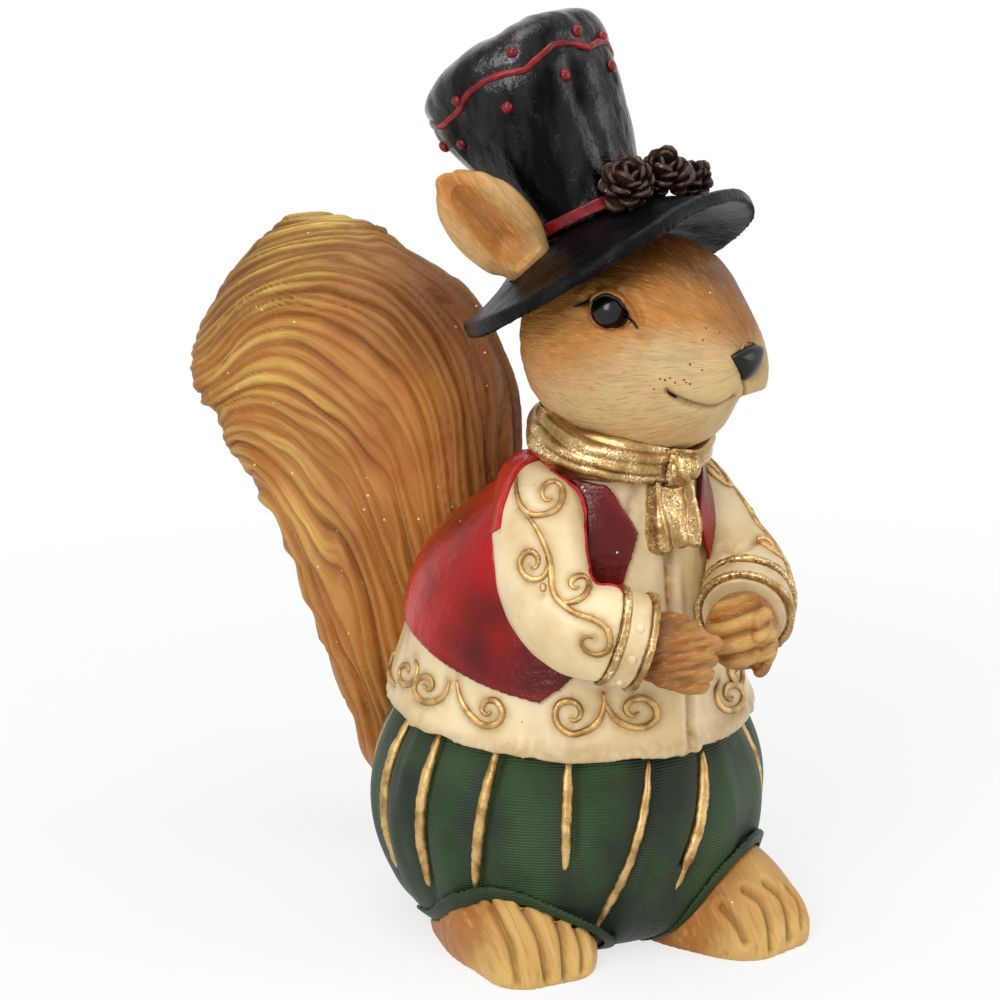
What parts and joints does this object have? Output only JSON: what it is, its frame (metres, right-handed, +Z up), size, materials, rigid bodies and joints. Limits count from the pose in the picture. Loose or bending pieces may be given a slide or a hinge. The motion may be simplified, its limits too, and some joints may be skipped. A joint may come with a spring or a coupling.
{
  "type": "squirrel figurine",
  "caption": "Standing resin squirrel in a top hat, gold scarf, red waistcoat and green striped breeches, paws clasped, tail curled up behind.",
  "frame": {"origin": "centre of the flat underside", "axes": "+Z up along the body, the squirrel faces -Y, +X towards its own left hand"},
  "size_m": [0.1088, 0.1942, 0.245],
  "materials": {
    "green_resin": "Cast resin, hand painted dark green in a linen weave",
    "gold_resin": "Cast resin with gold paint and fine glitter",
    "ivory_resin": "Cast resin, ivory paint with brown antiquing",
    "red_resin": "Cast resin, gloss red paint",
    "black_resin": "Cast resin, gloss black paint",
    "fur_resin": "Cast resin, tan and cream fur paint",
    "tail_resin": "Cast resin, caramel brown paint with dry brushed ridges",
    "cone_resin": "Cast resin, dark brown paint with glitter",
    "cord_resin": "Cast resin, dark red paint",
    "eye_gloss": "Gloss black paint under clear varnish",
    "felt": "Green felt cover, glued on",
    "dowel_wood": "Plain beech dowel"
  },
  "bodies": {
    "root": {"breeches": "green_resin", "base_cover": "felt", "gold_stripes": "gold_resin", "leg_hem_right": "green_resin", "leg_hem_left": "green_resin", "foot_right": "fur_resin", "foot_left": "fur_resin", "shirt": "ivory_resin", "waistcoat": "red_resin", "sleeve_right": "ivory_resin", "sleeve_left": "ivory_resin", "cuff_right": "ivory_resin", "cuff_left": "ivory_resin", "cuff_trims_right": "gold_resin", "cuff_trims_left": "gold_resin", "paw_right": "fur_resin", "paw_left": "fur_resin", "scarf_wrap": "gold_resin", "scarf_knot": "gold_resin", "scarf_end": "gold_resin", "head": "fur_resin", "eye_right": "eye_gloss", "eye_left": "eye_gloss", "nose": "black_resin", "ear_right": "fur_resin", "ear_left": "fur_resin", "hat_brim": "black_resin", "hat_crown": "black_resin", "hat_band": "cord_resin", "hat_cord": "cord_resin", "hat_studs": "cord_resin", "pine_cone_1": "cone_resin", "pine_cone_2": "cone_resin", "pine_cone_3": "cone_resin", "tail": "tail_resin", "neck_dowel": "dowel_wood", "hat_dowel": "dowel_wood", "tail_dowel": "dowel_wood"}
  },
  "joints": []
}
